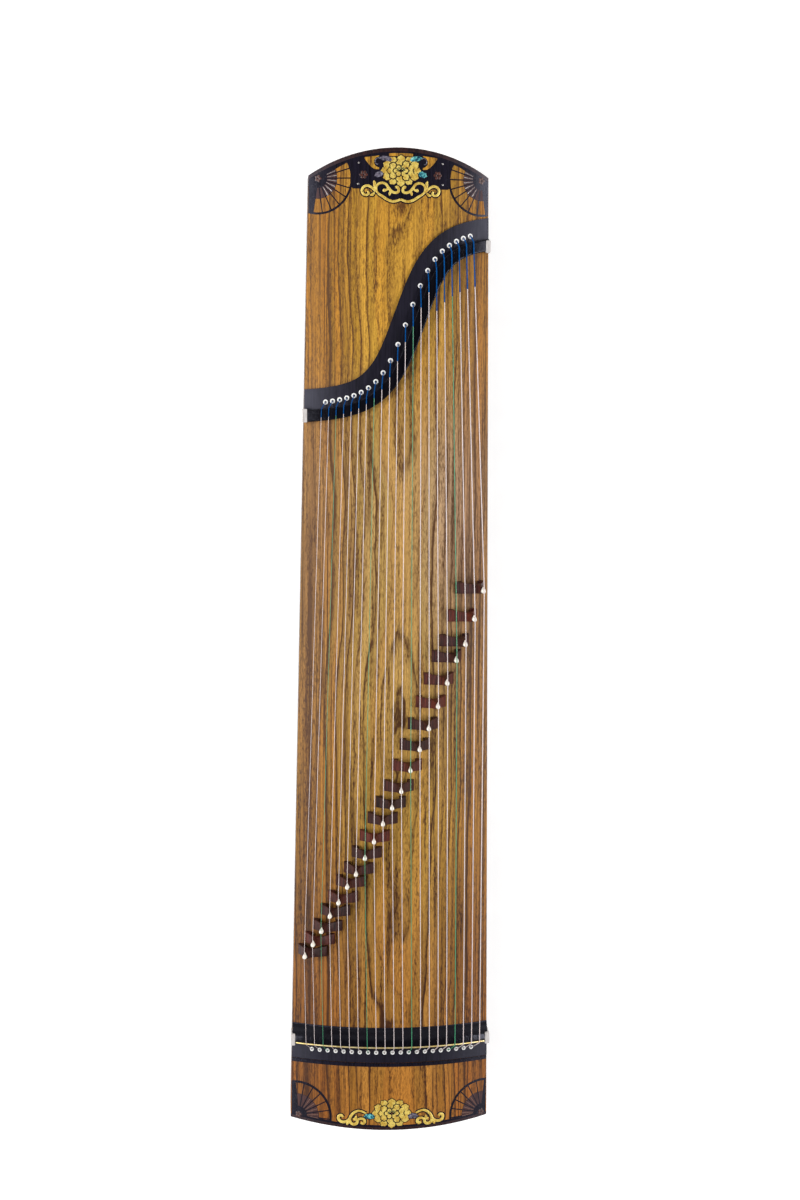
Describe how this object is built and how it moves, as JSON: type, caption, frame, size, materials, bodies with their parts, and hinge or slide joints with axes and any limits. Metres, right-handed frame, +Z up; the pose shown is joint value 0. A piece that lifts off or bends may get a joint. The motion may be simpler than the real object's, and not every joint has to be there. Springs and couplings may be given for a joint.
{
  "type": "guzheng",
  "caption": "Plucked board zither with an arched soundboard, movable bridges under nylon-wound strings, an S-shaped rear ridge and a hinged lid over its tuning pins.",
  "frame": {"origin": "on the plane the feet stand on, under the middle of the body", "axes": "+X toward the head (tuning) end, +Y toward the bass side, +Z up"},
  "size_m": [1.634, 0.3358, 0.1781],
  "materials": {
    "paulownia": "satin oiled paulownia with straight grain",
    "spruce": "plain planed",
    "rosewood": "dark satin lacquer",
    "black_rosewood": "near-black satin lacquer",
    "bridge_rosewood": "oiled rosewood, bone tips",
    "hardwood": "plain maple",
    "bone": "polished bone white",
    "brass_wire": "polished",
    "hinge_brass": "satin",
    "pin_steel": "nickel-plated steel",
    "string_nylon": "nylon-wound steel",
    "string_green": "green nylon-wound steel",
    "silk_blue": "wound blue silk",
    "inlay_gold": "satin light inlay",
    "inlay_shell": "polished shell",
    "inlay_dark": "satin dark inlay"
  },
  "bodies": {
    "body": {"soundboard": "paulownia", "back_board": "paulownia", "braces": "spruce", "side_boards": "rosewood", "tail_end_board": "rosewood", "head_end_board": "rosewood", "feet": "rosewood", "front_ridge": "black_rosewood", "rear_ridge": "black_rosewood", "pin_block": "hardwood", "ridge_end_caps": "bone", "ridge_wire": "brass_wire", "string_eyelets": "bone", "hinge_fixed_leaves": "hinge_brass", "strings": "string_nylon"},
    "lid": {"lid": "paulownia", "lid_end_panel": "rosewood", "hinge_moving_leaves": "hinge_brass"},
    "bridge_01": {"bridge_01": "bridge_rosewood"},
    "bridge_02": {"bridge_02": "bridge_rosewood"},
    "bridge_03": {"bridge_03": "bridge_rosewood"},
    "bridge_04": {"bridge_04": "bridge_rosewood"},
    "bridge_05": {"bridge_05": "bridge_rosewood"},
    "bridge_06": {"bridge_06": "bridge_rosewood"},
    "bridge_07": {"bridge_07": "bridge_rosewood"},
    "bridge_08": {"bridge_08": "bridge_rosewood"},
    "bridge_09": {"bridge_09": "bridge_rosewood"},
    "bridge_10": {"bridge_10": "bridge_rosewood"},
    "bridge_11": {"bridge_11": "bridge_rosewood"},
    "bridge_12": {"bridge_12": "bridge_rosewood"},
    "bridge_13": {"bridge_13": "bridge_rosewood"},
    "bridge_14": {"bridge_14": "bridge_rosewood"},
    "bridge_15": {"bridge_15": "bridge_rosewood"},
    "bridge_16": {"bridge_16": "bridge_rosewood"},
    "bridge_17": {"bridge_17": "bridge_rosewood"},
    "bridge_18": {"bridge_18": "bridge_rosewood"},
    "bridge_19": {"bridge_19": "bridge_rosewood"},
    "bridge_20": {"bridge_20": "bridge_rosewood"},
    "bridge_21": {"bridge_21": "bridge_rosewood"},
    "tuning_pin_01": {"tuning_pin_01": "pin_steel"},
    "tuning_pin_02": {"tuning_pin_02": "pin_steel"},
    "tuning_pin_03": {"tuning_pin_03": "pin_steel"},
    "tuning_pin_04": {"tuning_pin_04": "pin_steel"},
    "tuning_pin_05": {"tuning_pin_05": "pin_steel"},
    "tuning_pin_06": {"tuning_pin_06": "pin_steel"},
    "tuning_pin_07": {"tuning_pin_07": "pin_steel"},
    "tuning_pin_08": {"tuning_pin_08": "pin_steel"},
    "tuning_pin_09": {"tuning_pin_09": "pin_steel"},
    "tuning_pin_10": {"tuning_pin_10": "pin_steel"},
    "tuning_pin_11": {"tuning_pin_11": "pin_steel"},
    "tuning_pin_12": {"tuning_pin_12": "pin_steel"},
    "tuning_pin_13": {"tuning_pin_13": "pin_steel"},
    "tuning_pin_14": {"tuning_pin_14": "pin_steel"},
    "tuning_pin_15": {"tuning_pin_15": "pin_steel"},
    "tuning_pin_16": {"tuning_pin_16": "pin_steel"},
    "tuning_pin_17": {"tuning_pin_17": "pin_steel"},
    "tuning_pin_18": {"tuning_pin_18": "pin_steel"},
    "tuning_pin_19": {"tuning_pin_19": "pin_steel"},
    "tuning_pin_20": {"tuning_pin_20": "pin_steel"},
    "tuning_pin_21": {"tuning_pin_21": "pin_steel"}
  },
  "joints": [
    {"name": "lid_hinge", "type": "hinge", "parent": "body", "child": "lid", "pos_m": [0.816, 0, 0.075], "axis": [0, 1, 0], "range_deg": [0, 100]},
    {"name": "bridge_01_slide", "type": "slide", "parent": "body", "child": "bridge_01", "axis": [1, 0, 0], "range_m": [-0.0024, 0.0024], "deforming": ["strings"]},
    {"name": "bridge_02_slide", "type": "slide", "parent": "body", "child": "bridge_02", "axis": [1, 0, 0], "range_m": [-0.0024, 0.0024], "deforming": ["strings"]},
    {"name": "bridge_03_slide", "type": "slide", "parent": "body", "child": "bridge_03", "axis": [1, 0, 0], "range_m": [-0.0042, 0.0042], "deforming": ["strings"]},
    {"name": "bridge_04_slide", "type": "slide", "parent": "body", "child": "bridge_04", "axis": [1, 0, 0], "range_m": [-0.0037, 0.0037], "deforming": ["strings"]},
    {"name": "bridge_05_slide", "type": "slide", "parent": "body", "child": "bridge_05", "axis": [1, 0, 0], "range_m": [-0.0037, 0.0037], "deforming": ["strings"]},
    {"name": "bridge_06_slide", "type": "slide", "parent": "body", "child": "bridge_06", "axis": [1, 0, 0], "range_m": [-0.0022, 0.0022], "deforming": ["strings"]},
    {"name": "bridge_07_slide", "type": "slide", "parent": "body", "child": "bridge_07", "axis": [1, 0, 0], "range_m": [-0.0022, 0.0022], "deforming": ["strings"]},
    {"name": "bridge_08_slide", "type": "slide", "parent": "body", "child": "bridge_08", "axis": [1, 0, 0], "range_m": [-0.007, 0.007], "deforming": ["strings"]},
    {"name": "bridge_09_slide", "type": "slide", "parent": "body", "child": "bridge_09", "axis": [1, 0, 0], "range_m": [-0.0077, 0.0077], "deforming": ["strings"]},
    {"name": "bridge_10_slide", "type": "slide", "parent": "body", "child": "bridge_10", "axis": [1, 0, 0], "range_m": [-0.0062, 0.0062], "deforming": ["strings"]},
    {"name": "bridge_11_slide", "type": "slide", "parent": "body", "child": "bridge_11", "axis": [1, 0, 0], "range_m": [-0.0062, 0.0062], "deforming": ["strings"]},
    {"name": "bridge_12_slide", "type": "slide", "parent": "body", "child": "bridge_12", "axis": [1, 0, 0], "range_m": [-0.007, 0.007], "deforming": ["strings"]},
    {"name": "bridge_13_slide", "type": "slide", "parent": "body", "child": "bridge_13", "axis": [1, 0, 0], "range_m": [-0.0135, 0.0135], "deforming": ["strings"]},
    {"name": "bridge_14_slide", "type": "slide", "parent": "body", "child": "bridge_14", "axis": [1, 0, 0], "range_m": [-0.0132, 0.0132], "deforming": ["strings"]},
    {"name": "bridge_15_slide", "type": "slide", "parent": "body", "child": "bridge_15", "axis": [1, 0, 0], "range_m": [-0.0132, 0.0132], "deforming": ["strings"]},
    {"name": "bridge_16_slide", "type": "slide", "parent": "body", "child": "bridge_16", "axis": [1, 0, 0], "range_m": [-0.015, 0.015], "deforming": ["strings"]},
    {"name": "bridge_17_slide", "type": "slide", "parent": "body", "child": "bridge_17", "axis": [1, 0, 0], "range_m": [-0.015, 0.015], "deforming": ["strings"]},
    {"name": "bridge_18_slide", "type": "slide", "parent": "body", "child": "bridge_18", "axis": [1, 0, 0], "range_m": [-0.0043, 0.0043], "deforming": ["strings"]},
    {"name": "bridge_19_slide", "type": "slide", "parent": "body", "child": "bridge_19", "axis": [1, 0, 0], "range_m": [-0.0043, 0.0043], "deforming": ["strings"]},
    {"name": "bridge_20_slide", "type": "slide", "parent": "body", "child": "bridge_20", "axis": [1, 0, 0], "range_m": [-0.015, 0.015], "deforming": ["strings"]},
    {"name": "bridge_21_slide", "type": "slide", "parent": "body", "child": "bridge_21", "axis": [1, 0, 0], "range_m": [-0.015, 0.015], "deforming": ["strings"]},
    {"name": "tuning_pin_01_turn", "type": "hinge", "parent": "body", "child": "tuning_pin_01", "pos_m": [0.722, -0.12892, 0.05], "axis": [0, 0, 1], "continuous": true},
    {"name": "tuning_pin_02_turn", "type": "hinge", "parent": "body", "child": "tuning_pin_02", "pos_m": [0.746, -0.11583, 0.05], "axis": [0, 0, 1], "continuous": true},
    {"name": "tuning_pin_03_turn", "type": "hinge", "parent": "body", "child": "tuning_pin_03", "pos_m": [0.77, -0.1026, 0.05], "axis": [0, 0, 1], "continuous": true},
    {"name": "tuning_pin_04_turn", "type": "hinge", "parent": "body", "child": "tuning_pin_04", "pos_m": [0.722, -0.08926, 0.05], "axis": [0, 0, 1], "continuous": true},
    {"name": "tuning_pin_05_turn", "type": "hinge", "parent": "body", "child": "tuning_pin_05", "pos_m": [0.746, -0.0758, 0.05], "axis": [0, 0, 1], "continuous": true},
    {"name": "tuning_pin_06_turn", "type": "hinge", "parent": "body", "child": "tuning_pin_06", "pos_m": [0.77, -0.06225, 0.05], "axis": [0, 0, 1], "continuous": true},
    {"name": "tuning_pin_07_turn", "type": "hinge", "parent": "body", "child": "tuning_pin_07", "pos_m": [0.722, -0.04863, 0.05], "axis": [0, 0, 1], "continuous": true},
    {"name": "tuning_pin_08_turn", "type": "hinge", "parent": "body", "child": "tuning_pin_08", "pos_m": [0.746, -0.03494, 0.05], "axis": [0, 0, 1], "continuous": true},
    {"name": "tuning_pin_09_turn", "type": "hinge", "parent": "body", "child": "tuning_pin_09", "pos_m": [0.77, -0.02121, 0.05], "axis": [0, 0, 1], "continuous": true},
    {"name": "tuning_pin_10_turn", "type": "hinge", "parent": "body", "child": "tuning_pin_10", "pos_m": [0.722, -0.00745, 0.05], "axis": [0, 0, 1], "continuous": true},
    {"name": "tuning_pin_11_turn", "type": "hinge", "parent": "body", "child": "tuning_pin_11", "pos_m": [0.746, 0.00632, 0.05], "axis": [0, 0, 1], "continuous": true},
    {"name": "tuning_pin_12_turn", "type": "hinge", "parent": "body", "child": "tuning_pin_12", "pos_m": [0.77, 0.02008, 0.05], "axis": [0, 0, 1], "continuous": true},
    {"name": "tuning_pin_13_turn", "type": "hinge", "parent": "body", "child": "tuning_pin_13", "pos_m": [0.722, 0.03383, 0.05], "axis": [0, 0, 1], "continuous": true},
    {"name": "tuning_pin_14_turn", "type": "hinge", "parent": "body", "child": "tuning_pin_14", "pos_m": [0.746, 0.04754, 0.05], "axis": [0, 0, 1], "continuous": true},
    {"name": "tuning_pin_15_turn", "type": "hinge", "parent": "body", "child": "tuning_pin_15", "pos_m": [0.77, 0.0612, 0.05], "axis": [0, 0, 1], "continuous": true},
    {"name": "tuning_pin_16_turn", "type": "hinge", "parent": "body", "child": "tuning_pin_16", "pos_m": [0.722, 0.07479, 0.05], "axis": [0, 0, 1], "continuous": true},
    {"name": "tuning_pin_17_turn", "type": "hinge", "parent": "body", "child": "tuning_pin_17", "pos_m": [0.746, 0.0883, 0.05], "axis": [0, 0, 1], "continuous": true},
    {"name": "tuning_pin_18_turn", "type": "hinge", "parent": "body", "child": "tuning_pin_18", "pos_m": [0.77, 0.10171, 0.05], "axis": [0, 0, 1], "continuous": true},
    {"name": "tuning_pin_19_turn", "type": "hinge", "parent": "body", "child": "tuning_pin_19", "pos_m": [0.722, 0.115, 0.05], "axis": [0, 0, 1], "continuous": true},
    {"name": "tuning_pin_20_turn", "type": "hinge", "parent": "body", "child": "tuning_pin_20", "pos_m": [0.746, 0.12816, 0.05], "axis": [0, 0, 1], "continuous": true},
    {"name": "tuning_pin_21_turn", "type": "hinge", "parent": "body", "child": "tuning_pin_21", "pos_m": [0.77, 0.14118, 0.05], "axis": [0, 0, 1], "continuous": true}
  ]
}
